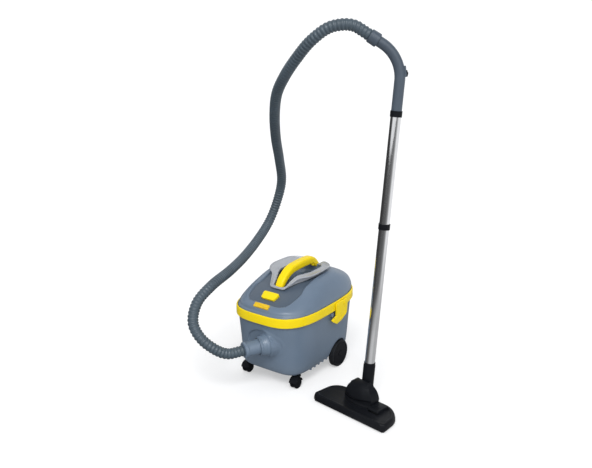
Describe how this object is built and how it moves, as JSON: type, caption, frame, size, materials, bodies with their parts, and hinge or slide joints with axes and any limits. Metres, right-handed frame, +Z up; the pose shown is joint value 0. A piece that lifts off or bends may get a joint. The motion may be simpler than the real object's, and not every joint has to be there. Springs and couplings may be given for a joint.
{
  "type": "canister vacuum cleaner",
  "caption": "Wheeled tub vacuum cleaner: lift-off motor head with yellow band and latches, ribbed hose, bent handle, chrome wand and hinged floor head.",
  "frame": {"origin": "bottom centre of the box round everything but the hose and its two cuffs, on the floor", "axes": "+Z up along the wand; +X across the tub towards the floor head; +Y towards the back of the tub, so the hose inlet faces -Y"},
  "size_m": [0.8405, 0.7415, 1.1969],
  "materials": {
    "grey_plastic": "moulded, satin, blue-grey",
    "yellow_plastic": "moulded, glossy, yellow",
    "silver_plastic": "moulded, silver-grey paint",
    "black_plastic": "moulded, black, satin",
    "dark_plastic": "moulded, dark grey",
    "rubber": "black rubber",
    "hose_plastic": "ribbed, dark blue-grey, satin",
    "chrome": "polished",
    "steel": "bright drawn",
    "cloth": "non-woven filter cloth",
    "card": "pressed card",
    "bristle": "black nylon bristle"
  },
  "bodies": {
    "machine": {"tub": "grey_plastic", "inlet_collar": "grey_plastic", "inlet_seal": "rubber", "dust_bag": "cloth", "bag_collar": "card", "axle_left": "steel", "axle_right": "steel", "hose": "hose_plastic", "wand_handle": "grey_plastic", "handle_bend": "grey_plastic", "handle_socket": "grey_plastic", "top_ring": "black_plastic", "upper_tube": "chrome", "middle_ring": "black_plastic", "lower_tube": "chrome", "neck": "black_plastic"},
    "motor_head": {"band": "yellow_plastic", "deck": "dark_plastic", "gasket": "rubber", "dome": "grey_plastic", "handle_frame": "silver_plastic", "carry_handle": "yellow_plastic", "name_plate": "yellow_plastic", "switch_box": "black_plastic", "fan_housing": "dark_plastic", "motor_case": "steel", "motor_seal": "rubber", "filter_cage": "dark_plastic", "cloth_filter": "cloth", "exhaust_grille": "dark_plastic", "cord_gland": "black_plastic", "latch_pin_left": "steel", "latch_pin_right": "steel"},
    "power_button": {"power_button": "yellow_plastic"},
    "latch_left": {"latch_left": "yellow_plastic"},
    "latch_right": {"latch_right": "yellow_plastic"},
    "impeller": {"impeller": "steel"},
    "castor_left": {"castor_left": "black_plastic"},
    "castor_right": {"castor_right": "black_plastic"},
    "castor_wheels_left": {"castor_wheels_left": "black_plastic"},
    "castor_wheels_right": {"castor_wheels_right": "black_plastic"},
    "wheel_left": {"wheel_left": "black_plastic", "tyre_left": "rubber"},
    "wheel_right": {"wheel_right": "black_plastic", "tyre_right": "rubber"},
    "hose_cuff_tub": {"hose_cuff_tub": "grey_plastic"},
    "hose_cuff_wand": {"hose_cuff_wand": "grey_plastic"},
    "bleed_slider": {"bleed_slider": "black_plastic"},
    "elbow": {"elbow": "black_plastic"},
    "floor_head": {"head_base": "black_plastic", "head_hood": "black_plastic", "sole_plate": "black_plastic"},
    "pedal": {"pedal": "black_plastic"},
    "brush": {"brush_carrier": "black_plastic", "brush_front": "bristle", "brush_rear": "bristle"},
    "head_roller_left": {"head_roller_left": "black_plastic"},
    "head_roller_right": {"head_roller_right": "black_plastic"}
  },
  "joints": [
    {"name": "motor_head_lift", "type": "slide", "parent": "machine", "child": "motor_head", "axis": [0, 0, 1], "range_m": [0, 0.25]},
    {"name": "power_button_press", "type": "slide", "parent": "motor_head", "child": "power_button", "axis": [0, 0.454, -0.891], "range_m": [0, 0.0035], "stiffness_N_per_m": 300, "springref_m": -0.002},
    {"name": "latch_left_hinge", "type": "hinge", "parent": "motor_head", "child": "latch_left", "pos_m": [-0.31853, 0.07673, 0.246], "axis": [1, 0, 0], "range_deg": [0, 40]},
    {"name": "castor_left_swivel", "type": "hinge", "parent": "machine", "child": "castor_left", "pos_m": [-0.26573, -0.12477, 0.05], "axis": [0, 0, 1], "continuous": true},
    {"name": "castor_left_roll", "type": "hinge", "parent": "castor_left", "child": "castor_wheels_left", "pos_m": [-0.26573, -0.13477, 0.0185], "axis": [1, 0, 0], "continuous": true},
    {"name": "wheel_left_roll", "type": "hinge", "parent": "machine", "child": "wheel_left", "pos_m": [-0.29223, 0.08573, 0.0475], "axis": [1, 0, 0], "continuous": true},
    {"name": "head_roller_left_roll", "type": "hinge", "parent": "floor_head", "child": "head_roller_left", "pos_m": [0.08683, -0.10121, 0.008], "axis": [0.9874, -0.1582, 0], "continuous": true},
    {"name": "latch_right_hinge", "type": "hinge", "parent": "motor_head", "child": "latch_right", "pos_m": [-0.00993, 0.07673, 0.246], "axis": [1, 0, 0], "range_deg": [0, 40]},
    {"name": "castor_right_swivel", "type": "hinge", "parent": "machine", "child": "castor_right", "pos_m": [-0.06273, -0.12477, 0.05], "axis": [0, 0, 1], "continuous": true},
    {"name": "castor_right_roll", "type": "hinge", "parent": "castor_right", "child": "castor_wheels_right", "pos_m": [-0.06273, -0.13477, 0.0185], "axis": [1, 0, 0], "continuous": true},
    {"name": "wheel_right_roll", "type": "hinge", "parent": "machine", "child": "wheel_right", "pos_m": [-0.03623, 0.08573, 0.0475], "axis": [1, 0, 0], "continuous": true},
    {"name": "head_roller_right_roll", "type": "hinge", "parent": "floor_head", "child": "head_roller_right", "pos_m": [0.29024, -0.13379, 0.008], "axis": [0.9874, -0.1582, 0], "continuous": true},
    {"name": "impeller_spin", "type": "hinge", "parent": "motor_head", "child": "impeller", "pos_m": [-0.16423, 0.03073, 0.25], "axis": [0, 0, 1], "continuous": true},
    {"name": "hose_cuff_tub_turn", "type": "hinge", "parent": "machine", "child": "hose_cuff_tub", "pos_m": [-0.14923, -0.20427, 0.1575], "axis": [-0.4688, -0.8817, -0.0523], "continuous": true},
    {"name": "hose_cuff_wand_turn", "type": "hinge", "parent": "machine", "child": "hose_cuff_wand", "pos_m": [0.15039, -0.02423, 1.13401], "axis": [-0.7117, -0.4547, 0.5354], "continuous": true},
    {"name": "bleed_slide", "type": "slide", "parent": "machine", "child": "bleed_slider", "axis": [-0.1242, 0.0088, 0.9922], "range_m": [0, 0.012]},
    {"name": "wand_twist", "type": "hinge", "parent": "machine", "child": "elbow", "pos_m": [0.19091, -0.10269, 0.04], "axis": [0.0176, 0.1101, 0.9938], "range_deg": [-90, 90]},
    {"name": "head_tilt", "type": "hinge", "parent": "elbow", "child": "floor_head", "pos_m": [0.19091, -0.10269, 0.04], "axis": [0.9874, -0.1582, 0], "range_deg": [0, 55]},
    {"name": "pedal_rock", "type": "hinge", "parent": "floor_head", "child": "pedal", "pos_m": [0.25675, -0.14058, 0.023], "axis": [0.9874, -0.1582, 0], "range_deg": [0, 12]},
    {"name": "brush_drop", "type": "slide", "parent": "floor_head", "child": "brush", "axis": [0, 0, 1], "range_m": [-0.0031, 0]}
  ],
  "couplings": [
    {"joint": "brush_drop", "follows": "pedal_rock", "m_per_rad": -0.014324}
  ]
}
